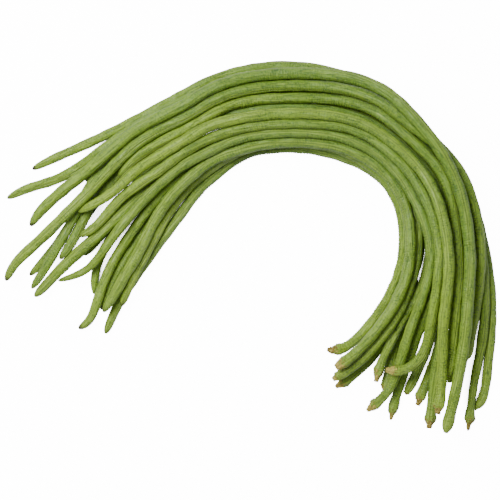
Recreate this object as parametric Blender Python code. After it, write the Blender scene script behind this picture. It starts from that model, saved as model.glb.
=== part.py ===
"""A bunch of yardlong beans, lying on a flat surface in one wide arch.

Every bean is one closed solid: a long limp pod with a narrow beak at its tip and, at the other
end, the shoulder, the dry cap and the cut stub that it hung from. The beans are laid one after
another, as a hand would lay them: each follows its own route over the surface and rests on the
surface or on the beans that are already there.
"""

import bmesh
import bpy
import numpy as np

MM = 0.001

# The arch that all the beans share. A bean crosses it at five angles, in its own lane, and a
# lane is a distance from the centre of the arch. The arch is narrower halfway between two of them.
ARCH_CENTRE = (30.0, -5.0)
LANE_ANGLES = (0.0, 30.0, 60.0, 90.0, 115.0)
NARROW_ANGLE = 45.0
SQUEEZE = 0.088
SQUEEZED_TOWARDS = 107.0

# How the beans lie.
ROUTE_STEP = 3.0
STEPS_BETWEEN_KNOTS = 12
SMOOTHING_PASSES = 8
SPREAD_PASSES = 30
SHIFT_SMOOTHING = 60
FURTHEST_SHIFT = 2.5
LAST_SMOOTHING = 60
AIR_GAP = 0.58
FLATTENED = 0.25
HUMP_RADIUS = 170.0
DIP_RADIUS = 150.0

# The pod along its length, from the stub to the tip, as fractions of its full radius.
STUB_PROFILE = ((0.0, 0.15), (1.5, 0.34), (4.5, 0.68), (8.0, 0.98), (15.0, 0.92), (50.0, 1.0))
TIP_PROFILE = ((110.0, 1.0), (45.0, 0.97), (22.0, 0.90), (10.0, 0.77), (5.0, 0.62), (1.6, 0.38), (0.0, 0.14))

# The facets of the solid.
SIDES = 8
ROUND_TO_FACETS = 1.03
CHORD_SAG = 0.35
LONGEST_CHORD = 22.0
SHORTEST_CHORD = 0.5

# Each bean: its name, its layer, its thickness, its route from the cut stub to the arch, its lanes,
# and its route from the arch to the tip, in the order in which the beans are laid.
BEANS = (
    ("bean_01", 1, 7.8,
     ((99, -107), (101, -97), (104, -84), (108, -70), (113, -57), (118.5, -42), (123.5, -25)),
     (93.5, 94.5, 86, 82.3, 84.5),
     ((-24, 58), (-37, 47), (-52, 27), (-65, 10), (-78, -8), (-89, -24), (-98, -38),
      (-104, -51), (-109, -63))),
    ("bean_02", 1, 7.4,
     ((66, -104), (78, -96.5), (93, -83), (105, -66), (114, -48), (121, -28)),
     (97.5, 99, 94.5, 90.5, 93),
     ((-30, 69), (-50, 56), (-65, 39), (-77, 21), (-88, 3), (-97, -12), (-105, -28),
      (-112, -45))),
    ("bean_09", 1, 7.2,
     ((94, -98), (96.5, -87), (102, -74), (107.5, -62), (116, -45), (125, -30), (131, -12)),
     (102, 106.5, 104, 99.5, 103.5),
     ((-50, 73), (-70, 57), (-82, 42), (-92, 28), (-104, 15), (-111, 3), (-116, -10),
      (-118, -22), (-118, -33))),
    ("bean_10", 1, 7.4,
     ((118, -109), (124, -98), (131, -84), (137, -70), (141.5, -55), (145, -30)),
     (112.5, 116, 114, 109.5, 114),
     ((-50, 82), (-70, 66), (-86, 48), (-97, 30), (-107, 14), (-116, 3), (-123, -5))),
    ("bean_03", 1, 7.4,
     ((126, -117), (129, -108), (134, -94), (139, -78), (143, -60), (149, -35)),
     (121, 125, 123.5, 120.5, 124.5),
     ((-50, 95), (-75, 79), (-95, 64), (-112, 48), (-128, 31), (-139, 14), (-148, 1),
      (-157, -10), (-166, -19))),
    ("bean_04", 1, 7.4,
     ((150, -100), (154, -82), (159, -60), (163, -35)),
     (133, 133.5, 132, 130.5, 134),
     ((-50, 106), (-75, 91), (-95, 77), (-110, 65), (-124, 52))),
    ("bean_06", 1, 7.4,
     ((167.5, -119.5), (172, -119), (176.5, -108), (179.5, -85), (182, -55), (181.5, -30)),
     (148, 142, 141.5, 143.8, 145.8),
     ((-50, 117.5), (-80, 101.5), (-100, 91), (-125, 79), (-150, 68), (-164, 61))),
    ("bean_20", 2, 7.8,
     ((58, -75), (66, -76.5), (75, -71.5), (87, -60), (98, -46), (108, -28)),
     (84.8, 91.5, 91.2, 86.5, 88.5),
     ((-27, 64), (-44, 50), (-59, 32), (-70, 13), (-79, -4), (-85, -15), (-89, -22), (-92, -30),
      (-96.5, -42))),
    ("bean_08", 2, 8.0,
     ((62, -97), (72, -91), (84, -82), (97, -67), (108, -52), (117, -34)),
     (95, 102, 99, 95, 98.5),
     ((-45, 64), (-63, 48), (-78, 29), (-91, 10), (-103, -9), (-111, -27), (-117, -45),
      (-122, -56), (-129, -59))),
    ("bean_11", 2, 8.4,
     ((106, -128), (108.5, -116), (113, -101), (119, -83), (126, -62), (133, -42), (138, -25)),
     (108, 107, 105, 103, 104),
     ((-50, 66), (-64, 56), (-76, 47), (-88, 35.5), (-100, 24), (-110, 14.5), (-120, 6),
      (-130, -3), (-145, -17), (-155, -28), (-162, -35))),
    ("bean_13", 2, 8.0,
     ((134.5, -134), (136, -120), (138, -101), (140.5, -80), (144.5, -55), (149, -30)),
     (121.5, 123.5, 118, 111.3, 117),
     ((-50, 91), (-75, 75), (-95, 59), (-111, 43), (-122.5, 29), (-129.5, 15), (-136.5, 2),
      (-143, -6.5))),
    ("bean_12", 2, 7.4,
     ((152.5, -120), (154.5, -104), (156.5, -88), (160, -62), (163, -35)),
     (131.5, 130.5, 130.5, 127.5, 131),
     ((-50, 101), (-75, 89), (-90, 79.5), (-103, 68.5), (-114, 57), (-123, 43), (-130, 28),
      (-136.5, 15), (-144, 3), (-150, -8), (-157, -19), (-164, -29))),
    ("bean_05", 2, 7.4,
     ((164, -136), (165.5, -122), (168.5, -100), (172.5, -80), (176, -55), (176.5, -30)),
     (144.5, 139.5, 139, 137, 140),
     ((-50, 112), (-80, 96.5), (-105, 80), (-122, 67.5), (-135, 58.5), (-150, 51.5),
      (-168, 46.5), (-183, 39))),
    ("bean_07", 3, 8.2,
     ((64, -88), (73, -82), (84, -72), (95, -59), (106, -44), (114, -28)),
     (90, 97.5, 94, 88.5, 91),
     ((-30, 69), (-48, 54), (-63, 36), (-74, 18), (-82, 1), (-88, -10), (-94.5, -20), (-99.5, -30),
      (-104.5, -38), (-110, -46.5))),
    ("bean_14", 3, 8.0,
     ((150, -96), (152.5, -80), (155, -55), (156.5, -30)),
     (125.7, 131.5, 128.5, 120.5, 124),
     ((-36, 98), (-50, 89.5), (-64, 81.5), (-78, 73), (-88, 65), (-94, 58), (-98, 53))),
    ("bean_15", 3, 7.6,
     ((87, -119), (95, -113), (104, -102.5), (110, -88), (114.5, -74), (120, -60),
      (126.5, -45), (132.5, -30)),
     (107.5, 103.5, 98.8, 93, 96.5),
     ((-30, 74), (-50, 65), (-62, 56), (-74, 44), (-86, 30), (-97, 17), (-106, 5), (-113, -5),
      (-122, -15), (-133, -20), (-144, -23))),
    ("bean_16", 3, 7.6,
     ((99, -89), (108, -90.5), (117, -88), (124.5, -82), (130.5, -72), (135, -58), (139, -42),
      (142, -22)),
     (113, 110.5, 108.5, 98.5, 103),
     ((-30, 84), (-50, 74.5), (-68, 60), (-80, 52), (-90, 45), (-99, 37.5), (-105.5, 29.5),
      (-112.5, 21), (-119.5, 14), (-128, 10.5))),
    ("bean_17", 3, 8.2,
     ((142, -123), (144.5, -108), (145.5, -88), (145.8, -60), (146.5, -30)),
     (115.5, 114.5, 111, 104.5, 110),
     ((-30, 92.5), (-50, 83.5), (-66, 74.5), (-80, 65.5), (-90, 57.5), (-100, 46.5),
      (-110, 39), (-120, 33.5), (-129, 29))),
    ("bean_18", 3, 8.2,
     ((159.5, -82), (163, -64), (167, -40), (169.5, -20)),
     (140.3, 139, 133, 128.5, 130),
     ((-50, 98), (-65, 91), (-80, 81.5), (-100, 63.5), (-112, 51), (-125, 38.5), (-138, 26),
      (-150, 14), (-165, 0.5), (-178, -12), (-183, -23))),
    ("bean_19", 3, 8.8,
     ((146, -137), (149, -125), (154, -106), (159, -86), (162.5, -65), (164, -40)),
     (133.5, 137, 139.5, 136.5, 136.5),
     ((-50, 105), (-80, 90.5), (-100, 76.5), (-112, 66.5), (-125, 56.5), (-140, 45),
      (-150, 36.5), (-160, 26.5), (-165, 18))),
)


def clear_scene():
    for thing in list(bpy.data.objects):
        bpy.data.objects.remove(thing, do_unlink=True)


def lane_points(lanes):
    """The points where a bean crosses the arch, one of them in its narrow part."""
    squeezed = 0.5 * (lanes[1] + lanes[2])
    squeezed += SQUEEZE * (SQUEEZED_TOWARDS - squeezed)
    angles = np.radians(np.insert(LANE_ANGLES, 2, NARROW_ANGLE))
    across = np.column_stack((np.cos(angles), np.sin(angles)))
    return np.array(ARCH_CENTRE) + across * np.insert(np.array(lanes, float), 2, squeezed)[:, None]


def lengths_along(points):
    steps = np.linalg.norm(np.diff(points, axis=0), axis=1)
    return np.concatenate(([0.0], np.cumsum(steps)))


def evenly_spaced(points, step):
    along = lengths_along(points)
    count = int(round(along[-1] / step)) + 1
    wanted = np.linspace(0.0, along[-1], count)
    return np.column_stack([np.interp(wanted, along, points[:, axis]) for axis in range(2)])


def smooth_curve(knots):
    """A curve through the knots, each stretch a cubic with the slopes of its neighbours."""
    along = lengths_along(knots)
    slopes = np.gradient(knots, along, axis=0)
    curve = []
    for i in range(len(knots) - 1):
        span = along[i + 1] - along[i]
        for u in np.linspace(0.0, 1.0, STEPS_BETWEEN_KNOTS, endpoint=False):
            curve.append(
                knots[i] * (1 + 2 * u) * (1 - u) ** 2
                + knots[i + 1] * u * u * (3 - 2 * u)
                + slopes[i] * span * u * (1 - u) ** 2
                - slopes[i + 1] * span * u * u * (1 - u)
            )
    curve.append(knots[-1])
    return np.array(curve)


def eased(values, passes, ends_free=False):
    """The values along a bean with their small kinks smoothed out."""
    values = values.copy()
    for _ in range(passes):
        values[1:-1] = 0.25 * values[:-2] + 0.5 * values[1:-1] + 0.25 * values[2:]
        if ends_free:
            values[0], values[-1] = values[1], values[-2]
    return values


def plan_route(stub_end, lanes, tip_end):
    """The line that a bean follows, seen from above."""
    knots = np.vstack((np.array(stub_end, float), lane_points(lanes), np.array(tip_end, float)))
    return eased(evenly_spaced(smooth_curve(knots), ROUTE_STEP), SMOOTHING_PASSES)


def pod_radius(along, thickness):
    """The radius of the pod at each distance along it."""
    whole = along[-1]
    from_stub, stub_part = zip(*STUB_PROFILE)
    to_tip, tip_part = zip(*reversed(TIP_PROFILE))
    at_stub = np.interp(along, from_stub, stub_part)
    at_tip = np.interp(whole - along, to_tip, tip_part)
    return 0.5 * thickness * np.minimum(at_stub, at_tip)


def push_from(route, radius, other, other_radius):
    """How far each point of a bean is pushed aside by another bean of its layer."""
    apart = route[:, None, :] - other[None, :, :]
    distance = np.linalg.norm(apart, axis=2)
    nearest = distance.argmin(axis=1)
    here = np.arange(len(route))
    closest = distance[here, nearest]
    overlap = np.maximum(radius + other_radius[nearest] + AIR_GAP - closest, 0.0)
    return apart[here, nearest] * (0.5 * overlap / np.maximum(closest, AIR_GAP))[:, None]


def spread_layer(routes, radii):
    """Beans of one layer shoulder one another aside, so that they lie side by side."""
    spread = [route.copy() for route in routes]
    for _ in range(SPREAD_PASSES):
        for i, (route, radius) in enumerate(zip(spread, radii)):
            push = sum(push_from(route, radius, spread[j], radii[j])
                       for j in range(len(spread)) if j != i)
            shift = eased(push, SHIFT_SMOOTHING, ends_free=True)
            moved = route + shift - routes[i]
            distance = np.linalg.norm(moved, axis=1)[:, None]
            spread[i] = routes[i] + moved * FURTHEST_SHIFT / np.maximum(distance, FURTHEST_SHIFT)
    return [start + eased(route - start, LAST_SMOOTHING, ends_free=True)
            for start, route in zip(routes, spread)]


def ease_heights(along, needed):
    """The lowest heights over the needed ones that a bean can take without a sharp bend."""
    apart = (along[:, None] - along[None, :]) ** 2
    humped = np.max(needed[None, :] - apart / (2 * HUMP_RADIUS), axis=1)
    bridged = np.max(humped[None, :] - apart / (2 * DIP_RADIUS), axis=1)
    return np.min(bridged[None, :] + apart / (2 * DIP_RADIUS), axis=1)


def height_over(route, radius, below, below_radius):
    """How high a bean has to lie so that it clears one that is already there."""
    apart = np.linalg.norm(route[:, None, :] - below[None, :, :2], axis=2)
    reach = radius[:, None] + below_radius[None, :] + AIR_GAP
    rise = np.sqrt(np.maximum(reach ** 2 - apart ** 2, 0.0))
    heights = np.where(apart < reach, below[None, :, 2] + rise, 0.0)
    return heights.max(axis=1)


def plan_layer(beans):
    """The name, route and radius of each bean of one layer."""
    routes = [plan_route(stub_end, lanes, tip_end) for _, _, _, stub_end, lanes, tip_end in beans]
    radii = [pod_radius(lengths_along(route), bean[2]) for route, bean in zip(routes, beans)]
    names = [bean[0] for bean in beans]
    return list(zip(names, spread_layer(routes, radii), radii))


def lay_beans():
    """Every bean's centre line and radius, in the order in which they are laid."""
    laid = []
    for layer in sorted({bean[1] for bean in BEANS}):
        for name, route, radius in plan_layer([bean for bean in BEANS if bean[1] == layer]):
            needed = radius - FLATTENED
            for _, below, below_radius in laid:
                needed = np.maximum(needed, height_over(route, radius, below, below_radius))
            heights = ease_heights(lengths_along(route), needed)
            laid.append((name, np.column_stack((route, heights)), radius))
    return laid


def stations(line):
    """The places along a bean that get a ring: close where it bends, further apart elsewhere."""
    along = lengths_along(line)
    heading = np.gradient(line, along, axis=0)
    bend = np.linalg.norm(np.gradient(heading, along, axis=0), axis=1)
    profile_ends = [s for s, _ in STUB_PROFILE[1:5]]
    profile_ends += [along[-1] - s for s, _ in TIP_PROFILE[2:5]]
    places = [0.0]
    while places[-1] < along[-1]:
        here = places[-1]
        ahead = (along >= here - ROUTE_STEP) & (along <= here + LONGEST_CHORD)
        after = here + min(np.sqrt(8 * CHORD_SAG / bend[ahead].max()), LONGEST_CHORD)
        fixed = [s for s in profile_ends if here + SHORTEST_CHORD < s < after]
        places.append(min([after, along[-1]] + fixed))
    return np.array(places)


def ring_points(centre, heading, radius):
    """One ring of the pod, with a flat side down. Where it would sink in, it is pressed flat."""
    side = np.cross(heading, (0.0, 0.0, 1.0))
    side /= np.linalg.norm(side)
    up = np.cross(side, heading)
    turns = np.radians(360.0 / SIDES) * (np.arange(SIDES) + 0.5)
    points = centre + radius * (np.outer(np.cos(turns), side) + np.outer(np.sin(turns), up))
    points[:, 2] = np.maximum(points[:, 2], 0.0)
    return points


def pod_rings(line, radius):
    along = lengths_along(line)
    places = stations(line)
    centres = np.column_stack([np.interp(places, along, line[:, axis]) for axis in range(3)])
    headings = np.gradient(centres, places, axis=0)
    headings /= np.linalg.norm(headings, axis=1)[:, None]
    radii = ROUND_TO_FACETS * np.interp(places, along, radius)
    return [ring_points(c, h, r) for c, h, r in zip(centres, headings, radii)]


def middle_of_bunch(all_rings):
    """The point under the middle of the bunch, which becomes the origin."""
    points = np.vstack([ring for rings in all_rings for ring in rings])
    middle = 0.5 * (points.min(axis=0) + points.max(axis=0))
    middle[2] = 0.0
    return middle


def bean_skin(name):
    skin = bpy.data.materials.new(name)
    skin.use_nodes = True
    shader = skin.node_tree.nodes["Principled BSDF"]
    shader.inputs["Base Color"].default_value = (0.24, 0.33, 0.06, 1.0)
    shader.inputs["Roughness"].default_value = 0.5
    shader.inputs["Metallic"].default_value = 0.0
    return skin


def make_bean(name, rings, middle):
    """Rings joined into one closed skin, with a small flat end at the stub and at the tip."""
    shape = bmesh.new()
    loops = [[shape.verts.new((point - middle) * MM) for point in ring] for ring in rings]
    for first, second in zip(loops, loops[1:]):
        for i in range(SIDES):
            j = (i + 1) % SIDES
            shape.faces.new((first[i], second[i], second[j], first[j]))
    shape.faces.new(loops[0])
    shape.faces.new(reversed(loops[-1]))
    bmesh.ops.recalc_face_normals(shape, faces=shape.faces)
    mesh = bpy.data.meshes.new(name)
    shape.to_mesh(mesh)
    shape.free()
    mesh.shade_smooth()
    bean = bpy.data.objects.new(name, mesh)
    bean.data.materials.append(bean_skin(name + "_skin"))
    bpy.context.scene.collection.objects.link(bean)
    return bean


def main():
    clear_scene()
    laid = lay_beans()
    all_rings = [pod_rings(line, radius) for _, line, radius in laid]
    middle = middle_of_bunch(all_rings)
    for (name, _, _), rings in zip(laid, all_rings):
        make_bean(name, rings, middle)


main()
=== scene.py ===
# %% [markdown]
# # A bunch of yardlong beans
#
# Twenty long limp pods lie on a pale floor in one wide arch. The lesson builds them in four steps:
#
# 1. lay the pods over one another, as lines with a thickness;
# 2. sweep a round skin along every line with one Geometry Nodes group;
# 3. give the skin one procedural material that reads attributes of the sweep;
# 4. set up a floor, soft light and a camera that looks straight down.
#
# All sizes in the tables are in millimetres, and the scene is in metres.

import math

import bpy
import numpy as np
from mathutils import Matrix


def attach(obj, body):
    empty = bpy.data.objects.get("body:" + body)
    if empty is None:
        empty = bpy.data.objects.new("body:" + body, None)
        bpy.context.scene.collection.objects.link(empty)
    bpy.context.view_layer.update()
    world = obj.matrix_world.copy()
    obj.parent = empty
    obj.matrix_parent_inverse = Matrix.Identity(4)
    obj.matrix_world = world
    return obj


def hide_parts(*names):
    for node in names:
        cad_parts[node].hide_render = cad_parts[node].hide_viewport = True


MM = 0.001
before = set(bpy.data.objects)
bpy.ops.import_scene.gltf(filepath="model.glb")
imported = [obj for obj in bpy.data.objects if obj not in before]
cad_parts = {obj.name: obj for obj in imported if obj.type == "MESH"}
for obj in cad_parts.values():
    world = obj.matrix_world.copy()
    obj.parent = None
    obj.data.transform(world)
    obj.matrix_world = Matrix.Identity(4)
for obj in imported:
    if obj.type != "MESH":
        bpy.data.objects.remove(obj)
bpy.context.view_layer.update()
print("CAD nodes:", len(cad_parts))

# %% [markdown]
# ## Step 1: where each pod lies
#
# A fresh yardlong bean is half a metre long and limp as a rope, so a bunch of them lies in one
# common bend. Each pod could be drawn by hand as a curve, but twenty such curves soon cut through
# one another. Here a table says roughly where each pod goes, and a few rules then lay the pods
# side by side and over one another, so that none cuts through its neighbour.
#
# The arch that all pods share has a centre. A pod crosses five rays from that centre, and the
# radius at which it crosses each ray is its lane. Before the first ray comes its stub side, and
# after the last ray its tip side, both as plain points on the floor.
#
# The pods are laid in three layers. The CAD part uses the same table and the same rules, so each
# fine pod lies exactly where its CAD solid lies.

# %% The table of routes
ARCH_CENTRE = (30.0, -5.0)
LANE_ANGLES = (0.0, 30.0, 60.0, 90.0, 115.0)
NARROW_ANGLE = 45.0
SQUEEZE = 0.088
SQUEEZED_TOWARDS = 107.0
MIDDLE = (0.963, 2.568)

# Each pod: its name, its layer, its thickness, its route from the cut stub to the arch, its lanes,
# and its route from the arch to the tip.
BEANS = (
    ("bean_01", 1, 7.8,
     ((99, -107), (101, -97), (104, -84), (108, -70), (113, -57), (118.5, -42), (123.5, -25)),
     (93.5, 94.5, 86, 82.3, 84.5),
     ((-24, 58), (-37, 47), (-52, 27), (-65, 10), (-78, -8), (-89, -24), (-98, -38),
      (-104, -51), (-109, -63))),
    ("bean_02", 1, 7.4,
     ((66, -104), (78, -96.5), (93, -83), (105, -66), (114, -48), (121, -28)),
     (97.5, 99, 94.5, 90.5, 93),
     ((-30, 69), (-50, 56), (-65, 39), (-77, 21), (-88, 3), (-97, -12), (-105, -28),
      (-112, -45))),
    ("bean_09", 1, 7.2,
     ((94, -98), (96.5, -87), (102, -74), (107.5, -62), (116, -45), (125, -30), (131, -12)),
     (102, 106.5, 104, 99.5, 103.5),
     ((-50, 73), (-70, 57), (-82, 42), (-92, 28), (-104, 15), (-111, 3), (-116, -10),
      (-118, -22), (-118, -33))),
    ("bean_10", 1, 7.4,
     ((118, -109), (124, -98), (131, -84), (137, -70), (141.5, -55), (145, -30)),
     (112.5, 116, 114, 109.5, 114),
     ((-50, 82), (-70, 66), (-86, 48), (-97, 30), (-107, 14), (-116, 3), (-123, -5))),
    ("bean_03", 1, 7.4,
     ((126, -117), (129, -108), (134, -94), (139, -78), (143, -60), (149, -35)),
     (121, 125, 123.5, 120.5, 124.5),
     ((-50, 95), (-75, 79), (-95, 64), (-112, 48), (-128, 31), (-139, 14), (-148, 1),
      (-157, -10), (-166, -19))),
    ("bean_04", 1, 7.4,
     ((150, -100), (154, -82), (159, -60), (163, -35)),
     (133, 133.5, 132, 130.5, 134),
     ((-50, 106), (-75, 91), (-95, 77), (-110, 65), (-124, 52))),
    ("bean_06", 1, 7.4,
     ((167.5, -119.5), (172, -119), (176.5, -108), (179.5, -85), (182, -55), (181.5, -30)),
     (148, 142, 141.5, 143.8, 145.8),
     ((-50, 117.5), (-80, 101.5), (-100, 91), (-125, 79), (-150, 68), (-164, 61))),
    ("bean_20", 2, 7.8,
     ((58, -75), (66, -76.5), (75, -71.5), (87, -60), (98, -46), (108, -28)),
     (84.8, 91.5, 91.2, 86.5, 88.5),
     ((-27, 64), (-44, 50), (-59, 32), (-70, 13), (-79, -4), (-85, -15), (-89, -22), (-92, -30),
      (-96.5, -42))),
    ("bean_08", 2, 8.0,
     ((62, -97), (72, -91), (84, -82), (97, -67), (108, -52), (117, -34)),
     (95, 102, 99, 95, 98.5),
     ((-45, 64), (-63, 48), (-78, 29), (-91, 10), (-103, -9), (-111, -27), (-117, -45),
      (-122, -56), (-129, -59))),
    ("bean_11", 2, 8.4,
     ((106, -128), (108.5, -116), (113, -101), (119, -83), (126, -62), (133, -42), (138, -25)),
     (108, 107, 105, 103, 104),
     ((-50, 66), (-64, 56), (-76, 47), (-88, 35.5), (-100, 24), (-110, 14.5), (-120, 6),
      (-130, -3), (-145, -17), (-155, -28), (-162, -35))),
    ("bean_13", 2, 8.0,
     ((134.5, -134), (136, -120), (138, -101), (140.5, -80), (144.5, -55), (149, -30)),
     (121.5, 123.5, 118, 111.3, 117),
     ((-50, 91), (-75, 75), (-95, 59), (-111, 43), (-122.5, 29), (-129.5, 15), (-136.5, 2),
      (-143, -6.5))),
    ("bean_12", 2, 7.4,
     ((152.5, -120), (154.5, -104), (156.5, -88), (160, -62), (163, -35)),
     (131.5, 130.5, 130.5, 127.5, 131),
     ((-50, 101), (-75, 89), (-90, 79.5), (-103, 68.5), (-114, 57), (-123, 43), (-130, 28),
      (-136.5, 15), (-144, 3), (-150, -8), (-157, -19), (-164, -29))),
    ("bean_05", 2, 7.4,
     ((164, -136), (165.5, -122), (168.5, -100), (172.5, -80), (176, -55), (176.5, -30)),
     (144.5, 139.5, 139, 137, 140),
     ((-50, 112), (-80, 96.5), (-105, 80), (-122, 67.5), (-135, 58.5), (-150, 51.5),
      (-168, 46.5), (-183, 39))),
    ("bean_07", 3, 8.2,
     ((64, -88), (73, -82), (84, -72), (95, -59), (106, -44), (114, -28)),
     (90, 97.5, 94, 88.5, 91),
     ((-30, 69), (-48, 54), (-63, 36), (-74, 18), (-82, 1), (-88, -10), (-94.5, -20), (-99.5, -30),
      (-104.5, -38), (-110, -46.5))),
    ("bean_14", 3, 8.0,
     ((150, -96), (152.5, -80), (155, -55), (156.5, -30)),
     (125.7, 131.5, 128.5, 120.5, 124),
     ((-36, 98), (-50, 89.5), (-64, 81.5), (-78, 73), (-88, 65), (-94, 58), (-98, 53))),
    ("bean_15", 3, 7.6,
     ((87, -119), (95, -113), (104, -102.5), (110, -88), (114.5, -74), (120, -60),
      (126.5, -45), (132.5, -30)),
     (107.5, 103.5, 98.8, 93, 96.5),
     ((-30, 74), (-50, 65), (-62, 56), (-74, 44), (-86, 30), (-97, 17), (-106, 5), (-113, -5),
      (-122, -15), (-133, -20), (-144, -23))),
    ("bean_16", 3, 7.6,
     ((99, -89), (108, -90.5), (117, -88), (124.5, -82), (130.5, -72), (135, -58), (139, -42),
      (142, -22)),
     (113, 110.5, 108.5, 98.5, 103),
     ((-30, 84), (-50, 74.5), (-68, 60), (-80, 52), (-90, 45), (-99, 37.5), (-105.5, 29.5),
      (-112.5, 21), (-119.5, 14), (-128, 10.5))),
    ("bean_17", 3, 8.2,
     ((142, -123), (144.5, -108), (145.5, -88), (145.8, -60), (146.5, -30)),
     (115.5, 114.5, 111, 104.5, 110),
     ((-30, 92.5), (-50, 83.5), (-66, 74.5), (-80, 65.5), (-90, 57.5), (-100, 46.5),
      (-110, 39), (-120, 33.5), (-129, 29))),
    ("bean_18", 3, 8.2,
     ((159.5, -82), (163, -64), (167, -40), (169.5, -20)),
     (140.3, 139, 133, 128.5, 130),
     ((-50, 98), (-65, 91), (-80, 81.5), (-100, 63.5), (-112, 51), (-125, 38.5), (-138, 26),
      (-150, 14), (-165, 0.5), (-178, -12), (-183, -23))),
    ("bean_19", 3, 8.8,
     ((146, -137), (149, -125), (154, -106), (159, -86), (162.5, -65), (164, -40)),
     (133.5, 137, 139.5, 136.5, 136.5),
     ((-50, 105), (-80, 90.5), (-100, 76.5), (-112, 66.5), (-125, 56.5), (-140, 45),
      (-150, 36.5), (-160, 26.5), (-165, 18))),
)
print("pods in the table:", len(BEANS))

# %% [markdown]
# A limp pod has no corners. A curve object could smooth its route, but the handles of twenty
# curves are hard to set and to check. So a short function joins the points of the table with
# cubics and then puts a point every 3 mm. Between 30 and 60 degrees, where the arch is narrow,
# one more lane is worked out from its neighbours and drawn towards the middle of the bunch.

# %% A smooth route
ROUTE_STEP = 3.0
STEPS_BETWEEN_KNOTS = 12
SMOOTHING_PASSES = 8


def lane_points(lanes):
    """The points where a pod crosses the arch, one of them in its narrow part."""
    squeezed = 0.5 * (lanes[1] + lanes[2])
    squeezed += SQUEEZE * (SQUEEZED_TOWARDS - squeezed)
    angles = np.radians(np.insert(LANE_ANGLES, 2, NARROW_ANGLE))
    across = np.column_stack((np.cos(angles), np.sin(angles)))
    return np.array(ARCH_CENTRE) + across * np.insert(np.array(lanes, float), 2, squeezed)[:, None]


def lengths_along(points):
    steps = np.linalg.norm(np.diff(points, axis=0), axis=1)
    return np.concatenate(([0.0], np.cumsum(steps)))


def evenly_spaced(points, step):
    along = lengths_along(points)
    count = int(round(along[-1] / step)) + 1
    wanted = np.linspace(0.0, along[-1], count)
    return np.column_stack([np.interp(wanted, along, column) for column in points.T])


def smooth_curve(knots):
    """A curve through the knots, each stretch a cubic with the slopes of its neighbours."""
    along = lengths_along(knots)
    slopes = np.gradient(knots, along, axis=0)
    curve = []
    for i in range(len(knots) - 1):
        span = along[i + 1] - along[i]
        for u in np.linspace(0.0, 1.0, STEPS_BETWEEN_KNOTS, endpoint=False):
            curve.append(
                knots[i] * (1 + 2 * u) * (1 - u) ** 2
                + knots[i + 1] * u * u * (3 - 2 * u)
                + slopes[i] * span * u * (1 - u) ** 2
                - slopes[i + 1] * span * u * u * (1 - u)
            )
    curve.append(knots[-1])
    return np.array(curve)


def eased(values, passes, ends_free=False):
    """The values along a pod with their small kinks smoothed out."""
    values = values.copy()
    for _ in range(passes):
        values[1:-1] = 0.25 * values[:-2] + 0.5 * values[1:-1] + 0.25 * values[2:]
        if ends_free:
            values[0], values[-1] = values[1], values[-2]
    return values


def plan_route(stub_end, lanes, tip_end):
    """The line that a pod follows, seen from above."""
    knots = np.vstack((np.array(stub_end, float), lane_points(lanes), np.array(tip_end, float)))
    return eased(evenly_spaced(smooth_curve(knots), ROUTE_STEP), SMOOTHING_PASSES)


first_route = plan_route(*BEANS[0][3:])
print("length of the first pod:", round(lengths_along(first_route)[-1]), "mm")

# %% [markdown]
# A pod tapers over its last 110 mm to a blunt beak. At its other end come the shoulder, a slight
# neck behind it, and the cone of the dry cap. Each pod could be scaled by hand at its ends, but a
# list of distances, each with a part of the full thickness, serves all pods and is easy to change.

# %% Thickness along a pod
STUB_PROFILE = ((0.0, 0.15), (1.5, 0.34), (4.5, 0.68), (8.0, 0.98), (15.0, 0.92), (50.0, 1.0))
TIP_PROFILE = ((110.0, 1.0), (45.0, 0.97), (22.0, 0.90), (10.0, 0.77), (5.0, 0.62), (1.6, 0.38),
               (0.0, 0.14))


def pod_radius(along, thickness, stub_profile=STUB_PROFILE, tip_profile=TIP_PROFILE):
    """The radius of the pod at each distance along it."""
    from_stub, stub_part = zip(*stub_profile)
    to_tip, tip_part = zip(*reversed(tip_profile))
    at_stub = np.interp(along, from_stub, stub_part)
    at_tip = np.interp(along[-1] - along, to_tip, tip_part)
    return 0.5 * thickness * np.minimum(at_stub, at_tip)


first_radius = pod_radius(lengths_along(first_route), BEANS[0][2])
print("thickest part of the first pod:", round(2 * float(first_radius.max()), 1), "mm")

# %% [markdown]
# Pods of one layer shoulder one another aside, so that they lie side by side. A physics
# simulation could do that too, but it takes long and is hard to repeat. Here each pod pushes its
# neighbours half of their overlap, time after time, and the shift is smoothed, because a pod
# bends only gently.

# %% Pods side by side
SPREAD_PASSES = 30
SHIFT_SMOOTHING = 60
FURTHEST_SHIFT = 2.5
LAST_SMOOTHING = 60
AIR_GAP = 0.58


def push_from(route, radius, other, other_radius):
    """How far each point of a pod is pushed aside by another pod of its layer."""
    apart = route[:, None, :] - other[None, :, :]
    distance = np.linalg.norm(apart, axis=2)
    nearest = distance.argmin(axis=1)
    here = np.arange(len(route))
    closest = distance[here, nearest]
    overlap = np.maximum(radius + other_radius[nearest] + AIR_GAP - closest, 0.0)
    return apart[here, nearest] * (0.5 * overlap / np.maximum(closest, AIR_GAP))[:, None]


def spread_layer(routes, radii):
    spread = [route.copy() for route in routes]
    for _ in range(SPREAD_PASSES):
        for i, (route, radius) in enumerate(zip(spread, radii)):
            push = sum(push_from(route, radius, spread[j], radii[j])
                       for j in range(len(spread)) if j != i)
            shift = eased(push, SHIFT_SMOOTHING, ends_free=True)
            moved = route + shift - routes[i]
            distance = np.linalg.norm(moved, axis=1)[:, None]
            spread[i] = routes[i] + moved * FURTHEST_SHIFT / np.maximum(distance, FURTHEST_SHIFT)
    return [start + eased(route - start, LAST_SMOOTHING, ends_free=True)
            for start, route in zip(routes, spread)]


print("a pod moves aside by at most", FURTHEST_SHIFT, "mm")

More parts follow.
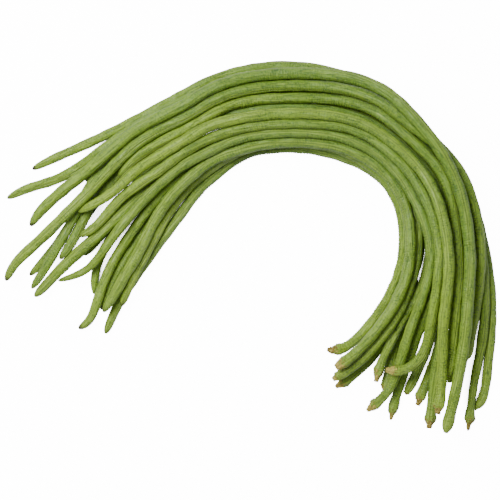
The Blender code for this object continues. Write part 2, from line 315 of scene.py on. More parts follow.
# %% [markdown]
# Now the pods are laid down one by one. Each has to clear every pod that is already there. A real
# pod is too stiff to follow every small step below it, so it rises and falls in wide humps and
# dips. They could be shaped by eye, but two parabolas, one for humps and one for dips, give them
# to every pod in the same way. The lowest pods are pressed a little flat by the floor.

# %% Laying the pods down
FLATTENED = 0.25
HUMP_RADIUS = 170.0
DIP_RADIUS = 150.0


def ease_heights(along, needed):
    """The lowest heights over the needed ones that a pod can take without a sharp bend."""
    apart = (along[:, None] - along[None, :]) ** 2
    humped = np.max(needed[None, :] - apart / (2 * HUMP_RADIUS), axis=1)
    bridged = np.max(humped[None, :] - apart / (2 * DIP_RADIUS), axis=1)
    return np.min(bridged[None, :] + apart / (2 * DIP_RADIUS), axis=1)


def height_over(route, radius, below, below_radius):
    """How high a pod has to lie so that it clears one that is already there."""
    apart = np.linalg.norm(route[:, None, :] - below[None, :, :2], axis=2)
    reach = radius[:, None] + below_radius[None, :] + AIR_GAP
    rise = np.sqrt(np.maximum(reach ** 2 - apart ** 2, 0.0))
    heights = np.where(apart < reach, below[None, :, 2] + rise, 0.0)
    return heights.max(axis=1)


def plan_layer(beans):
    """The name, route and radius of each pod of one layer."""
    routes = [plan_route(stub_end, lanes, tip_end) for _, _, _, stub_end, lanes, tip_end in beans]
    radii = [pod_radius(lengths_along(route), bean[2]) for route, bean in zip(routes, beans)]
    names = [bean[0] for bean in beans]
    return list(zip(names, spread_layer(routes, radii), radii))


def lay_beans():
    """Every pod's centre line, in the order in which they are laid."""
    laid = []
    for layer in sorted({bean[1] for bean in BEANS}):
        for name, route, radius in plan_layer([bean for bean in BEANS if bean[1] == layer]):
            needed = radius - FLATTENED
            for _, below, below_radius in laid:
                needed = np.maximum(needed, height_over(route, radius, below, below_radius))
            heights = ease_heights(lengths_along(route), needed)
            laid.append((name, np.column_stack((route, heights)), radius))
    return laid


lines = {name: line for name, line, _ in lay_beans()}
print("highest centre line:", round(max(line[:, 2].max() for line in lines.values())), "mm")

# %% [markdown]
# ## Step 2: the skin
#
# The skin of a pod is round, with faint swellings over the seeds, two seams, small wrinkles and a
# ragged dry end. It could be sculpted, but then each of the twenty pods would take the same work
# again. One Geometry Nodes tree makes them all, and each pod only brings its own numbers.
#
# Every pod has its own look. Tone runs from 0, dull and dark, to 1, bright yellow-green. Beak is
# how dark its very tip is. Cap is the length of the dry brown end in millimetres, and rust is how
# brown it is. Stub is the shape of that end, as distances from the cut, each with a part of the
# full thickness.

# %% The look of each pod
STUBS = {
    "cone": ((0.0, 0.28), (1.0, 0.45), (3.0, 0.62), (6.0, 0.88), (9.0, 1.0), (16.0, 0.93),
             (60.0, 1.0)),
    "round": ((0.0, 0.16), (0.8, 0.42), (2.2, 0.64), (5.0, 0.88), (9.0, 0.97), (15.0, 0.93),
              (60.0, 1.0)),
    "neck": ((0.0, 0.16), (1.2, 0.30), (4.5, 0.44), (7.0, 0.72), (10.0, 1.06), (13.0, 1.04),
             (18.0, 0.80), (40.0, 0.90), (70.0, 1.0)),
    "blunt": ((0.0, 0.50), (0.8, 0.70), (2.5, 0.84), (6.0, 0.98), (10.0, 1.0), (16.0, 0.93),
              (60.0, 1.0)),
    "stalk": ((0.0, 0.42), (0.8, 0.50), (2.6, 0.55), (4.0, 0.72), (6.0, 0.93), (10.0, 1.0),
              (16.0, 0.93), (60.0, 1.0)),
}

# The tip, as distances to its very end.
BLUNT_TIP = ((110.0, 1.0), (45.0, 0.98), (22.0, 0.93), (10.0, 0.83), (5.0, 0.70), (1.6, 0.46),
             (0.0, 0.18))
SLENDER_TIP = ((110.0, 1.0), (45.0, 0.90), (22.0, 0.76), (10.0, 0.63), (5.0, 0.53), (1.6, 0.36),
               (0.0, 0.14))
SLENDER = ("bean_15",)

# name: tone, beak, cap, rust, stub
LOOKS = {
    "bean_01": (0.35, 0.3, 6.0, 0.4, "stalk"),
    "bean_02": (0.30, 0.9, 7.0, 0.7, "cone"),
    "bean_03": (0.50, 0.8, 6.5, 0.8, "stalk"),
    "bean_04": (0.15, 0.3, 0.5, 0.1, "round"),
    "bean_05": (0.50, 0.4, 8.0, 0.8, "neck"),
    "bean_06": (0.55, 1.0, 1.5, 0.2, "round"),
    "bean_07": (0.55, 0.5, 7.0, 0.5, "blunt"),
    "bean_08": (0.65, 0.9, 3.5, 0.3, "stalk"),
    "bean_09": (0.50, 0.3, 8.0, 0.7, "stalk"),
    "bean_10": (0.15, 0.3, 1.5, 0.9, "round"),
    "bean_11": (0.40, 0.3, 6.0, 0.7, "neck"),
    "bean_12": (0.10, 0.4, 0.5, 0.1, "round"),
    "bean_13": (0.25, 0.6, 7.0, 0.8, "stalk"),
    "bean_14": (0.60, 0.3, 0.5, 0.1, "round"),
    "bean_15": (0.45, 0.3, 7.0, 0.5, "cone"),
    "bean_16": (0.70, 0.3, 8.0, 0.4, "stalk"),
    "bean_17": (1.00, 0.2, 6.0, 0.8, "stalk"),
    "bean_18": (0.60, 0.8, 0.5, 0.1, "round"),
    "bean_19": (0.45, 0.9, 0.5, 0.1, "round"),
    "bean_20": (0.95, 0.6, 8.0, 0.9, "cone"),
}
print("pods with a look:", len(LOOKS))

# %% [markdown]
# A tree of nodes can't read a table, so each pod's line becomes a mesh of points and edges, with
# the radius and the direction in which the pod bends stored on the points. A curve object could
# carry the radius, but not the bend. The points lie closer together at both ends of a pod, where
# its skin is ragged.

# %% Lines for the sweep to read
FINE_STEP = 0.62
END_STEP = 0.3
END_LENGTH = 10.0
FINE_SMOOTHING = 8
PLUMPNESS = 1.04


def fine_places(length):
    near_end = np.arange(0.0, END_LENGTH, END_STEP)
    between = np.linspace(END_LENGTH, length - END_LENGTH, int(length / FINE_STEP))
    return np.concatenate((near_end, between, length - near_end[::-1]))


def store(mesh, name, values, kind="FLOAT"):
    attribute = mesh.attributes.new(name, kind, "POINT")
    field = "vector" if kind == "FLOAT_VECTOR" else "value"
    attribute.data.foreach_set(field, np.asarray(values, float).ravel())


def line_object(name, line, thickness, stub):
    """A mesh of points and edges along a pod, in metres, with the facts that the sweep reads."""
    coarse = lengths_along(line)
    places = fine_places(coarse[-1])
    fine = np.column_stack([np.interp(places, coarse, column) for column in line.T])
    fine = eased(fine, FINE_SMOOTHING)
    along = lengths_along(fine)
    tip = SLENDER_TIP if name.startswith(SLENDER) else BLUNT_TIP
    radius = eased(pod_radius(along, thickness, STUBS[stub], tip), 2) * PLUMPNESS
    heading = np.gradient(fine, along, axis=0)
    bend = eased(np.gradient(heading, along, axis=0), FINE_SMOOTHING)
    fine[:, :2] -= MIDDLE
    mesh = bpy.data.meshes.new(name)
    edges = [(i, i + 1) for i in range(len(fine) - 1)]
    mesh.from_pydata([tuple(point * MM) for point in fine], edges, [])
    store(mesh, "pod_radius", radius * MM)
    store(mesh, "bend", bend / MM, "FLOAT_VECTOR")
    pod = bpy.data.objects.new(name, mesh)
    bpy.context.scene.collection.objects.link(pod)
    return pod


print("points on the first fine line:", len(fine_places(lengths_along(first_route)[-1])))

# %% [markdown]
# A few small helpers make the node trees short to write. They add a node and set its fields and
# inputs, join numbers and outputs in a Math node, and read or store an attribute. Nodes could be
# placed by hand in the editor too, but a script can be read, changed and run again.

# %% Helpers for node trees
def add_node(tree, kind, inputs=None, **fields):
    node = tree.nodes.new(kind)
    for field, value in fields.items():
        setattr(node, field, value)
    for socket, value in (inputs or {}).items():
        if isinstance(value, bpy.types.NodeSocket):
            tree.links.new(value, node.inputs[socket])
        else:
            node.inputs[socket].default_value = value
    return node


def math_node(tree, operation, *values, clamp=False):
    return add_node(tree, "ShaderNodeMath", dict(enumerate(values)), operation=operation,
                    use_clamp=clamp).outputs[0]


def named(tree, name, kind="FLOAT"):
    """An attribute that is read by name."""
    node = add_node(tree, "GeometryNodeInputNamedAttribute", {"Name": name}, data_type=kind)
    return node.outputs["Attribute"]


def stored(tree, geometry, name, value, kind="FLOAT"):
    """The geometry with a value stored on its points."""
    node = add_node(tree, "GeometryNodeStoreNamedAttribute",
                    {"Geometry": geometry, "Name": name, "Value": value},
                    data_type=kind, domain="POINT")
    return node.outputs["Geometry"]


print("helpers for trees:", [helper.__name__ for helper in (add_node, math_node, named, stored)])

# %% [markdown]
# The tree first sweeps a circle along the line. A curve's own bevel does that too, but it doesn't
# tell where on the skin a point lies. So the circle's own points are stored as the attribute
# "around", and a pattern can follow the skin without a seam. The tilt turns it slowly along the
# pod, as on a real pod that has twisted a little.

# %% A circle along the line
SIDES = 20


def swept_circle(tree, given):
    """The plain round skin, with the attributes around, along and to_tip."""
    curve = add_node(tree, "GeometryNodeMeshToCurve", {"Mesh": given["Line"]}).outputs[0]
    place = tree.nodes.new("GeometryNodeSplineParameter").outputs["Length"]
    whole = tree.nodes.new("GeometryNodeSplineLength").outputs["Length"]
    curve = stored(tree, curve, "along", place)
    curve = stored(tree, curve, "to_tip", math_node(tree, "SUBTRACT", whole, place))
    turned = math_node(tree, "MULTIPLY_ADD", place, given["Twist"], given["Pattern Start"])
    curve = add_node(tree, "GeometryNodeSetCurveTilt", {"Curve": curve, "Tilt": turned}).outputs[0]
    circle = add_node(tree, "GeometryNodeCurvePrimitiveCircle",
                      {"Resolution": given["Sides"], "Radius": 1.0}).outputs["Curve"]
    position = tree.nodes.new("GeometryNodeInputPosition").outputs[0]
    circle = stored(tree, circle, "around", position, "FLOAT_VECTOR")
    return add_node(tree, "GeometryNodeCurveToMesh",
                    {"Curve": curve, "Profile Curve": circle, "Scale": named(tree, "pod_radius"),
                     "Fill Caps": True}).outputs[0]


print("points round a pod:", SIDES)

# %% [markdown]
# Over each seed the pod swells a little, and where its two halves meet, a seam runs along it as a
# narrow groove. Both could be modelled as loops of edges. Here a sine along the pod gives the
# seeds, and noise makes their steps uneven. The seams lie where the circle's x is close to 1 or
# -1, and a high power of x makes them narrow.

# %% Seeds and seams
SEED_WANDER_SCALE = 18.0
SEED_WANDER = 1.6
SEAM_NARROWNESS = 22.0


def turns(tree, count):
    """The sine of a number of whole turns."""
    return math_node(tree, "SINE", math_node(tree, "MULTIPLY", count, 2 * math.pi))


def seeds_and_seams(tree, given, along, around, radius):
    """How far the skin moves out for the seeds and in for the seams."""
    uneven = add_node(tree, "ShaderNodeTexNoise", {
        "W": math_node(tree, "MULTIPLY_ADD", along, SEED_WANDER_SCALE, given["Pattern Start"]),
        "Scale": 1.0, "Detail": 1.0}, noise_dimensions="1D").outputs[0]
    seeds = math_node(tree, "DIVIDE", along, given["Seed Spacing"])
    seeds = turns(tree, math_node(tree, "MULTIPLY_ADD", uneven, SEED_WANDER, seeds))
    swelling = math_node(tree, "MULTIPLY", seeds, given["Seed Swelling"])
    from_middle = math_node(tree, "ABSOLUTE", around["X"])
    seam = math_node(tree, "POWER", from_middle, SEAM_NARROWNESS)
    groove = math_node(tree, "MULTIPLY", seam, given["Seam Depth"])
    swelling = math_node(tree, "SUBTRACT", swelling, groove)
    return math_node(tree, "MULTIPLY", swelling, radius)


print("the steps of the seeds wander by up to", SEED_WANDER, "seeds")

# %% [markdown]
# On the inside of a bend the skin has too much length and gathers in small cross wrinkles. A bump
# texture could paint them, but then the outline of the pod would stay smooth. So the points
# themselves move, where the normal faces the inside of the bend. Towards the tip they fade out.

# %% Wrinkles on the inside of a bend
WRINKLE_SPACING = 0.0019
SLIGHT_BEND = 2.0
STRONG_BEND = 9.0
ROUND_STRETCH = 1.2


def straight_ramp(tree, value, start, end):
    """0 at the start and 1 at the end, in a straight line between them."""
    return add_node(tree, "ShaderNodeMapRange",
                    {"Value": value, "From Min": start, "From Max": end}).outputs["Result"]


def rough_skin(tree, around, along, start, scale):
    """Noise on the skin, at a place given by the attribute around and a distance."""
    place = add_node(tree, "ShaderNodeCombineXYZ", {
        "X": math_node(tree, "MULTIPLY", around["X"], ROUND_STRETCH),
        "Y": math_node(tree, "MULTIPLY_ADD", around["Y"], ROUND_STRETCH, start),
        "Z": along}).outputs[0]
    return add_node(tree, "ShaderNodeTexNoise",
                    {"Vector": place, "Scale": scale, "Detail": 1.0}).outputs[0]


def inside_of_bend(tree, normal):
    """1 where the skin faces the inside of a strong bend, and 0 near the tip."""
    facing = add_node(tree, "ShaderNodeVectorMath",
                      {0: normal, 1: named(tree, "bend", "FLOAT_VECTOR")},
                      operation="DOT_PRODUCT").outputs["Value"]
    from_tip = straight_ramp(tree, named(tree, "to_tip"), 0.02, 0.07)
    return math_node(tree, "MULTIPLY", straight_ramp(tree, facing, SLIGHT_BEND, STRONG_BEND), from_tip)


def wrinkles(tree, given, along, around, inside):
    """The height of the wrinkles, from -1 to 1."""
    folds = math_node(tree, "DIVIDE", along, given["Wrinkle Spacing"])
    wander = rough_skin(tree, around, folds, given["Pattern Start"], 0.35)
    folds = turns(tree, math_node(tree, "MULTIPLY_ADD", wander, 2.0, folds))
    return math_node(tree, "MULTIPLY", folds, inside)


print("wrinkles are", WRINKLE_SPACING / MM, "mm apart")

# %% [markdown]
# The dry end is what is left of the stalk and of the flower's five green leaves. Sculpting each
# one would look best from close by, but on a pod 8 mm thick a rule is enough: noise makes the end
# rough, and where it meets the green, a cosine round the pod raises five short lobes.

# %% The ragged dry end
CAP_GRAIN = 700.0
LOBES = 5.0


def ragged_end(tree, given, along, around, caps):
    """How rough the dry end is, from -0.5 to 0.5. Caps counts the distance in lengths of the cap."""
    rough = rough_skin(tree, around, math_node(tree, "MULTIPLY", along, CAP_GRAIN),
                       given["Pattern Start"], 1.0)
    rough = math_node(tree, "SUBTRACT", rough, 0.5)
    return math_node(tree, "MULTIPLY", rough, straight_ramp(tree, caps, 2.0, 0.7))


def calyx_lobes(tree, given, around, caps):
    """1 on top of a lobe."""
    from_lobes = math_node(tree, "ABSOLUTE", math_node(tree, "SUBTRACT", caps, 1.1))
    turn = math_node(tree, "ARCTAN2", around["Y"], around["X"])
    fives = math_node(tree, "COSINE", math_node(tree, "MULTIPLY_ADD", turn, LOBES,
                                                given["Pattern Start"]), clamp=True)
    return math_node(tree, "MULTIPLY", straight_ramp(tree, from_lobes, 0.5, 0.1), fives)


print("lobes round the shoulder:", int(LOBES))

# %% [markdown]
# Now the tree puts these together. Its inputs are the sizes of the skin, in metres, so that they
# can be changed in the modifier without opening the tree. After the sweep the skin moves along its
# normals, and where it would go below the floor it stops, as a soft pod is pressed flat.

# %% The whole tree
SKIN_SIZES = (
    ("Seed Spacing", 0.021), ("Seed Swelling", 0.035), ("Seam Depth", 0.09),
    ("Wrinkle Spacing", WRINKLE_SPACING), ("Wrinkle Height", 0.00028), ("Cap Length", 0.004),
    ("Cap Raggedness", 0.0014), ("Lobe Height", 0.0009), ("Twist", 5.0), ("Pattern Start", 0.0),
)


def group_inputs(tree):
    make = tree.interface.new_socket
    make("Line", in_out="INPUT", socket_type="NodeSocketGeometry")
    for name, value in SKIN_SIZES:
        make(name, in_out="INPUT", socket_type="NodeSocketFloat").default_value = value
    make("Sides", in_out="INPUT", socket_type="NodeSocketInt").default_value = SIDES
    make("Skin", in_out="INPUT", socket_type="NodeSocketMaterial")
    make("Pod", in_out="OUTPUT", socket_type="NodeSocketGeometry")
    return tree.nodes.new("NodeGroupInput").outputs


def above_floor(tree, skin):
    position = tree.nodes.new("GeometryNodeInputPosition").outputs[0]
    corner = add_node(tree, "ShaderNodeSeparateXYZ", {0: position}).outputs
    pressed = add_node(tree, "ShaderNodeCombineXYZ", {
        "X": corner["X"], "Y": corner["Y"],
        "Z": math_node(tree, "MAXIMUM", corner["Z"], 0.0)}).outputs[0]
    return add_node(tree, "GeometryNodeSetPosition",
                    {"Geometry": skin, "Position": pressed}).outputs[0]


def pod_group():
    tree = bpy.data.node_groups.new("Pod along its line", "GeometryNodeTree")
    given = group_inputs(tree)
    skin = swept_circle(tree, given)
    along, radius = named(tree, "along"), named(tree, "pod_radius")
    around = add_node(tree, "ShaderNodeSeparateXYZ",
                      {0: named(tree, "around", "FLOAT_VECTOR")}).outputs
    normal = tree.nodes.new("GeometryNodeInputNormal").outputs["Normal"]
    inside = inside_of_bend(tree, normal)
    caps = math_node(tree, "DIVIDE", along, given["Cap Length"])

    swelling = seeds_and_seams(tree, given, along, around, radius)
    for part, height in ((wrinkles(tree, given, along, around, inside), "Wrinkle Height"),
                         (ragged_end(tree, given, along, around, caps), "Cap Raggedness"),
                         (calyx_lobes(tree, given, around, caps), "Lobe Height")):
        swelling = math_node(tree, "MULTIPLY_ADD", part, given[height], swelling)
    moved = add_node(tree, "ShaderNodeVectorMath", {0: normal, "Scale": swelling},
                     operation="SCALE").outputs[0]
    skin = stored(tree, skin, "inside", inside)
    skin = add_node(tree, "GeometryNodeSetPosition",
                    {"Geometry": skin, "Offset": moved}).outputs[0]
    skin = above_floor(tree, skin)
    skin = add_node(tree, "GeometryNodeSetShadeSmooth", {"Geometry": skin}).outputs[0]
    skin = add_node(tree, "GeometryNodeRealizeInstances", {"Geometry": skin}).outputs[0]
    skin = add_node(tree, "GeometryNodeSetMaterial",
                    {"Geometry": skin, "Material": given["Skin"]}).outputs[0]
    add_node(tree, "NodeGroupOutput", {"Pod": skin})
    return tree


sweep = pod_group()
print("nodes in the sweep:", len(sweep.nodes))

# %% [markdown]
# ## Step 3: the material
#
# A fresh pod is green all over, but never one flat green: it has streaks, specks, creases and a
# satin gloss. A picture of a bean could be wrapped round it, but it would be blurred from close
# by and the same on every pod. One procedural material serves all pods instead. It reads the
# attributes of the sweep: "around" and "along" place the marks, "along" also places the dry cap,
# and "to_tip" the dark beak. The looks of the table come in as attributes too, so the pods differ.

# %% Helpers for the material
def attribute(tree, name, output="Fac"):
    return add_node(tree, "ShaderNodeAttribute", attribute_name=name).outputs[output]


def blend(tree, amount, first, second):
    """The first colour, and the second one by the amount."""
    return add_node(tree, "ShaderNodeMix", {"Factor": amount, 6: first, 7: second},
                    data_type="RGBA", blend_type="MIX", clamp_factor=True).outputs[2]


def tint(tree, base, colour, mask, strength):
    """The base with a colour laid over it where the mask is 1."""
    return blend(tree, math_node(tree, "MULTIPLY", mask, strength), base, colour)


def ramped(tree, value, start, end):
    """0 at the start and 1 at the end, smooth in between."""
    return add_node(tree, "ShaderNodeMapRange",
                    {"Value": value, "From Min": start, "From Max": end},
                    interpolation_type="SMOOTHSTEP").outputs["Result"]


def thin_line(tree, value, middle, start, end):
    """1 where the value is close to the middle, and 0 further away."""
    away = math_node(tree, "ABSOLUTE", math_node(tree, "SUBTRACT", value, middle))
    return ramped(tree, away, start, end)


print("helpers for masks:", [helper.__name__ for helper in (tint, ramped, thin_line)])

# %% [markdown]
# Most marks on the skin are noise. It could be placed by the pod's position in the scene, but then
# streaks would run straight on where a pod bends. So it is placed by the attributes of the sweep.
# A low lengthwise number draws it out along the pod, and a high one presses it into short cross
# marks. Each pod starts at another place in the noise, so that no two look the same.

# %% Noise on the skin
START_STEP = 7.0


def skin_noise(tree, lengthwise, scale, detail=2.0, rough=0.5):
    """Noise from 0 to 1 that follows the pod."""
    around = add_node(tree, "ShaderNodeSeparateXYZ",
                      {0: attribute(tree, "around", "Vector")}).outputs
    along = math_node(tree, "MULTIPLY", attribute(tree, "along"), lengthwise)
    start = math_node(tree, "MULTIPLY_ADD", attribute(tree, "start"), START_STEP, along)
    place = add_node(tree, "ShaderNodeCombineXYZ",
                     {"X": around["X"], "Y": around["Y"], "Z": start}).outputs[0]
    return add_node(tree, "ShaderNodeTexNoise",
                    {"Vector": place, "Scale": scale, "Detail": detail,
                     "Roughness": rough}).outputs[0]


print("from pod to pod the noise moves on by", START_STEP / len(BEANS))

# %% [markdown]
# The pod's green lies between a dull and a bright one, and is deeper in the middle of the pod
# than at its ends. Over it come patches, long streaks, mottling and short dark specks. A single
# colour ramp on one noise could give several greens too, but marks in separate layers can each
# have their own size and direction. How strongly each one shows is kept in a table.

# %% The greens
DARK_GREEN = (0.045, 0.105, 0.026, 1)
DEEP_GREEN = (0.090, 0.200, 0.026, 1)
MID_GREEN = (0.160, 0.300, 0.032, 1)
BRIGHT_GREEN = (0.300, 0.455, 0.032, 1)
PALE_GREEN = (0.400, 0.540, 0.065, 1)
DULL_GREEN = (0.085, 0.200, 0.036, 1)
TAN = (0.760, 0.660, 0.150, 1)
BROWN = (0.190, 0.095, 0.022, 1)
BEAK = (0.035, 0.028, 0.012, 1)

# The crease, wrinkle and lip strengths are painted light: the first two darken the skin as painted
# shade, and the lips lighten it as a painted highlight.
STRENGTH = {
    "patches": 0.30, "pale streaks": 0.12, "dark streaks": 0.14, "middle": 0.42, "ends": 0.42,
    "mottle": 0.20, "specks": 0.46, "lip highlight": 0.34, "shaded creases": 0.50, "wrinkles": 0.38,
    "shoulder": 0.35, "rim": 0.60,
}


def pod_green(tree, along, to_tip):
    """The green of the pod, and the masks of its streaks and its mottling."""
    base = blend(tree, attribute(tree, "tone"), DULL_GREEN, BRIGHT_GREEN)
    patches = ramped(tree, skin_noise(tree, lengthwise=22.0, scale=1.1), 0.35, 0.65)
    base = tint(tree, base, MID_GREEN, patches, STRENGTH["patches"])
    streaks = skin_noise(tree, lengthwise=28.0, scale=3.4, detail=3.0, rough=0.6)
    streaks = ramped(tree, streaks, 0.38, 0.66)
    base = tint(tree, base, PALE_GREEN, streaks, STRENGTH["pale streaks"])
    dark_streaks = ramped(tree, skin_noise(tree, lengthwise=40.0, scale=4.6, detail=2.0), 0.52, 0.74)
    base = tint(tree, base, DARK_GREEN, dark_streaks, STRENGTH["dark streaks"])
    ends = math_node(tree, "MAXIMUM", ramped(tree, to_tip, 0.20, 0.04),
                     ramped(tree, along, 0.17, 0.03))
    middle = math_node(tree, "SUBTRACT", 1.0, ends)
    base = tint(tree, base, DEEP_GREEN, middle, STRENGTH["middle"])
    base = tint(tree, base, BRIGHT_GREEN, ends, STRENGTH["ends"])
    mottle = skin_noise(tree, lengthwise=260.0, scale=2.4, detail=2.0, rough=0.7)
    mottle = ramped(tree, mottle, 0.38, 0.62)
    base = tint(tree, base, PALE_GREEN, mottle, STRENGTH["mottle"])
    specks = ramped(tree, skin_noise(tree, lengthwise=330.0, scale=2.0, detail=1.0), 0.52, 0.68)
    base = tint(tree, base, DARK_GREEN, specks, STRENGTH["specks"])
    return base, streaks, mottle


print("marks on the skin:", ", ".join(STRENGTH))

# %% [markdown]
# Thin creases wander along a limp pod, each with a pale lip beside it, and so do the two seams.
# Here the creases and seams are darkened with painted shade, and their lips lightened with a
# painted highlight. The creases could be drawn one by one, but a line where noise passes a certain
# value wanders just like them. The seams lie where the circle's x is close to 1 or -1, as in the sweep.

# %% Creases and seams
def with_crease_shade_and_lip_highlight(tree, base):
    """The base with painted shade in creases and seams, a painted highlight on their lips, and the mask
    of both.
    """
    wander = skin_noise(tree, lengthwise=14.0, scale=2.2, detail=1.0)
    from_seam = math_node(tree, "ABSOLUTE", add_node(
        tree, "ShaderNodeSeparateXYZ", {0: attribute(tree, "around", "Vector")}).outputs["X"])
    crease = math_node(tree, "MAXIMUM", thin_line(tree, wander, 0.5, 0.030, 0.004),
                       ramped(tree, from_seam, 0.980, 0.997))
    lip_highlight = math_node(tree, "MAXIMUM", thin_line(tree, wander, 0.55, 0.030, 0.004),
                    ramped(tree, from_seam, 0.90, 0.96))
    # Painted highlight: the lips beside creases and seams are tinted paler green.
    base = tint(tree, base, PALE_GREEN, lip_highlight, STRENGTH["lip highlight"])
    # Painted shade: the creases and seams are tinted darker green.
    return tint(tree, base, DARK_GREEN, crease, STRENGTH["shaded creases"]), crease


print("creases darken the skin by", STRENGTH["shaded creases"])

# %% [markdown]
# The fine cross wrinkles have the same spacing as in the sweep. There they move the points on the
# inside of a bend, and here they also darken the skin as painted shade, in patches all over the
# pod, where they are too shallow to need points of their own.

# %% Cross wrinkles
def with_wrinkle_shade(tree, base, along):
    """The base with fine cross wrinkles as painted shade, and their mask."""
    wander = skin_noise(tree, lengthwise=160.0, scale=1.6, detail=1.0)
    folds = math_node(tree, "MULTIPLY_ADD", wander, 2.4,
                      math_node(tree, "DIVIDE", along, WRINKLE_SPACING))
    patchy = ramped(tree, skin_noise(tree, lengthwise=45.0, scale=1.0), 0.46, 0.62)
    patchy = math_node(tree, "MAXIMUM", patchy, attribute(tree, "inside"))
    folds = math_node(tree, "MULTIPLY", ramped(tree, turns(tree, folds), 0.1, 0.9), patchy)
    # Painted shade: the wrinkle bands are tinted darker green.
    return tint(tree, base, DARK_GREEN, folds, STRENGTH["wrinkles"]), folds


print("wrinkles darken the skin by", STRENGTH["wrinkles"])

# %% [markdown]
# The shoulder of the pod is paler. Behind it comes the cap, which has dried to tan with brown
# fibres, and its edge is ragged. A second material on the cap would end in a straight line along
# the edges of the mesh, so the cap is a mask in this one, and noise tears its edge.

# %% The dry cap
def with_cap(tree, base, along):
    """The base with the dry cap, and the masks of the cap and of its grain."""
    cap = attribute(tree, "cap")
    base = tint(tree, base, PALE_GREEN, ramped(tree, along, 0.016, 0.004), STRENGTH["shoulder"])
    ragged = skin_noise(tree, lengthwise=260.0, scale=2.2, detail=3.0, rough=0.7)
    edge = math_node(tree, "MULTIPLY", cap, math_node(tree, "MULTIPLY_ADD", ragged, 3.0, -0.65))
    past_edge = math_node(tree, "SUBTRACT", along, edge)
    dry = ramped(tree, past_edge, 0.0005, -0.0006)
    fibres = skin_noise(tree, lengthwise=150.0, scale=4.0, detail=3.0, rough=0.7)
    fibres = ramped(tree, fibres, 0.36, 0.52)
    fibres = math_node(tree, "MAXIMUM", fibres, ramped(tree, along, 0.0026, 0.0006))
    rust = math_node(tree, "MULTIPLY", fibres, attribute(tree, "rust"))
    base = blend(tree, dry, base, blend(tree, rust, TAN, BROWN))
    rim = thin_line(tree, past_edge, 0.0, 0.0007, 0.0001)
    rim = math_node(tree, "MULTIPLY", rim, ramped(tree, along, 0.014, 0.008))
    rim = math_node(tree, "MULTIPLY", rim, ramped(tree, cap, 0.0008, 0.0015))
    return tint(tree, base, BROWN, rim, STRENGTH["rim"]), dry, ragged


print("longest cap:", max(look[2] for look in LOOKS.values()), "mm")

# %% [markdown]
# The material joins all marks and adds the dark beak at the very tip. The green has a satin
# gloss, the cap has none. Finer meshes could carry the raised streaks, the sunken creases and
# the grain of the cap as well, but they would need many times more points for marks that are too
# small to show in the outline, so bump is enough for them.

# %% The skin's material
SATIN = 0.36
MOTTLED_SATIN = 0.10
DRY_ROUGHNESS = 0.85
CREASE_DEPTH = 1.6
CAP_DEPTH = 3.0


def pod_skin():
    material = bpy.data.materials.new("pod_skin")
    material.use_nodes = True
    tree = material.node_tree
    shader = tree.nodes["Principled BSDF"]
    along, to_tip = attribute(tree, "along"), attribute(tree, "to_tip")
    base, streaks, mottle = pod_green(tree, along, to_tip)
    # Painted shade in creases, seams and wrinkles, and a painted highlight on the lips beside creases
    # and seams.
    base, crease = with_crease_shade_and_lip_highlight(tree, base)
    base, folds = with_wrinkle_shade(tree, base, along)
    base, dry, ragged = with_cap(tree, base, along)
    base = tint(tree, base, BEAK, ramped(tree, to_tip, 0.0045, 0.0008), attribute(tree, "beak"))
    tree.links.new(base, shader.inputs["Base Color"])

    sheen = math_node(tree, "MULTIPLY_ADD", mottle, MOTTLED_SATIN, SATIN)
    rough = math_node(tree, "MAXIMUM", sheen, math_node(tree, "MULTIPLY", dry, DRY_ROUGHNESS))
    tree.links.new(rough, shader.inputs["Roughness"])
    shader.inputs["Specular IOR Level"].default_value = 0.4

    sunken = math_node(tree, "MULTIPLY_ADD", crease, CREASE_DEPTH, folds)
    relief = math_node(tree, "SUBTRACT", streaks, sunken)
    grain = math_node(tree, "MULTIPLY", dry, CAP_DEPTH)
    relief = math_node(tree, "MULTIPLY_ADD", ragged, grain, relief)
    bump = add_node(tree, "ShaderNodeBump",
                    {"Height": relief, "Strength": 0.7, "Distance": 0.0004}).outputs[0]
    tree.links.new(bump, shader.inputs["Normal"])
    return material


skin = pod_skin()
print("nodes in the skin:", len(skin.node_tree.nodes))

# %% [markdown]
# Now each line goes through the sweep. The modifier could stay live on every pod, but its result
# is made a plain mesh here, so that other programs can read the finished pods. The mesh takes the
# pod's look as attributes and stands for its CAD node.

# %% Sweeping every pod
PATTERN_STEP = 1.7


def socket_id(tree, name):
    return next(item.identifier for item in tree.interface.items_tree
                if item.item_type == "SOCKET" and item.in_out == "INPUT" and item.name == name)


def swept(pod, start, cap):
    modifier = pod.modifiers.new("Sweep", "NODES")
    modifier.node_group = sweep
    for title, value in (("Skin", skin), ("Pattern Start", start), ("Cap Length", cap)):
        modifier[socket_id(sweep, title)] = value
    view = bpy.context.evaluated_depsgraph_get()
    mesh = bpy.data.meshes.new_from_object(pod.evaluated_get(view))
    pod.modifiers.remove(modifier)
    old = pod.data
    pod.data = mesh
    mesh.name = pod.name
    bpy.data.meshes.remove(old)


triangles = 0
for number, (name, _, thickness, _, _, _) in enumerate(BEANS):
    tone, beak, cap, rust, stub = LOOKS[name]
    pod = line_object(name + "_skin", lines[name], thickness, stub)
    swept(pod, PATTERN_STEP * number, cap * MM)
    corners = len(pod.data.vertices)
    for title, value in (("tone", tone), ("beak", beak), ("cap", cap * MM), ("rust", rust),
                         ("start", number / len(BEANS))):
        store(pod.data, title, np.full(corners, value))
    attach(pod, "root")
    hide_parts(name)
    triangles += 2 * corners
print("triangles:", triangles)

# %% [markdown]
# ## Step 4: floor, light and camera
#
# The bunch lies on a table and is looked at straight from above. A camera close by would show the
# outer pods a little from the side, so this one hangs far above with a long lens, and the pods
# keep their plan shapes. Its view is 375 mm wide at the height of the bunch.

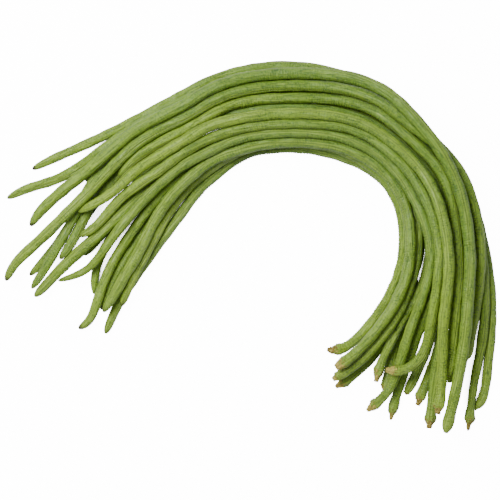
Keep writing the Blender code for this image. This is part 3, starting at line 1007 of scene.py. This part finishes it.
# %% Camera
VIEW_WIDTH = 0.375
CAMERA_HEIGHT = 2.5
BUNCH_HEIGHT = 0.015
PHOTO_CENTRE = (-MIDDLE[0] * MM, -MIDDLE[1] * MM)

camera_data = bpy.data.cameras.new("camera")
camera_data.lens = camera_data.sensor_width * (CAMERA_HEIGHT - BUNCH_HEIGHT) / VIEW_WIDTH
camera = bpy.data.objects.new("camera", camera_data)
camera.location = (PHOTO_CENTRE[0], PHOTO_CENTRE[1], CAMERA_HEIGHT)
bpy.context.scene.collection.objects.link(camera)
bpy.context.scene.camera = camera
print("lens of the camera:", round(camera_data.lens), "mm")

# %% [markdown]
# The photo's background is pure white and throws no light up between the pods. A floor that is
# lit until it looks white would do that and wash out the shade. So the floor glows for the camera
# only. In the narrow slits between pods, where no light gets in, it doesn't glow, and ambient
# occlusion finds these slits.

# %% Floor
GLOW = 14.0
SLIT_DEPTH = 0.03
FLOOR_REACH = 4.0


def camera_only(tree, strength):
    return math_node(tree, "MULTIPLY", tree.nodes.new("ShaderNodeLightPath").outputs[0], strength)


def open_floor(tree):
    """1 on the open floor and 0 in a slit."""
    reached = add_node(tree, "ShaderNodeAmbientOcclusion", {"Distance": SLIT_DEPTH}, samples=8)
    return ramped(tree, reached.outputs["AO"], 0.10, 0.26)


def white(name):
    material = bpy.data.materials.new(name)
    material.use_nodes = True
    tree = material.node_tree
    shader = tree.nodes["Principled BSDF"]
    shader.inputs["Base Color"].default_value = (0.9, 0.9, 0.9, 1)
    shader.inputs["Roughness"].default_value = 0.9
    shader.inputs["Specular IOR Level"].default_value = 0.0
    shader.inputs["Emission Color"].default_value = (1, 1, 1, 1)
    glow = math_node(tree, "MULTIPLY", camera_only(tree, GLOW), open_floor(tree))
    tree.links.new(glow, shader.inputs["Emission Strength"])
    return material


floor_mesh = bpy.data.meshes.new("floor")
floor_corners = [(x * FLOOR_REACH, y * FLOOR_REACH, 0) for x, y in ((-1, -1), (1, -1), (1, 1), (-1, 1))]
floor_mesh.from_pydata(floor_corners, [], [(0, 1, 2, 3)])
floor_mesh.materials.append(white("floor"))
floor = bpy.data.objects.new("floor", floor_mesh)
bpy.context.scene.collection.objects.link(floor)
print("the floor is", 2 * FLOOR_REACH, "m wide")

# %% [markdown]
# In a studio, soft light comes from one large lamp and from pale walls. The walls could be built,
# but a weak sky that is the same on all sides does their work. It glows for the camera too, so
# that the background is white from every side. The lamp is a disk at the upper left of the
# picture, which gives each pod a lit flank and a soft shadow.

# %% Sky and lamp
SKY = 0.30
SKY_COLOUR = (0.93, 0.97, 1, 1)
LAMP_SIZE = 0.8
LAMP_POWER = 29.0
LAMP_COLOUR = (0.96, 0.98, 0.90)
LAMP_PLACE = (-0.50, 0.42, 1.3)

world = bpy.data.worlds.new("soft sky")
world.use_nodes = True
sky = world.node_tree.nodes["Background"]
sky.inputs["Color"].default_value = SKY_COLOUR
brightness = math_node(world.node_tree, "ADD", camera_only(world.node_tree, GLOW), SKY)
world.node_tree.links.new(brightness, sky.inputs["Strength"])
bpy.context.scene.world = world

lamp_data = bpy.data.lights.new("key", "AREA")
lamp_data.shape = "DISK"
lamp_data.size = LAMP_SIZE
lamp_data.energy = LAMP_POWER
lamp_data.color = LAMP_COLOUR
lamp = bpy.data.objects.new("key", lamp_data)
lamp.location = LAMP_PLACE
lamp.rotation_euler = (-lamp.location).to_track_quat("-Z", "Y").to_euler()
bpy.context.scene.collection.objects.link(lamp)
print("lamp:", LAMP_POWER, "W, sky:", SKY)
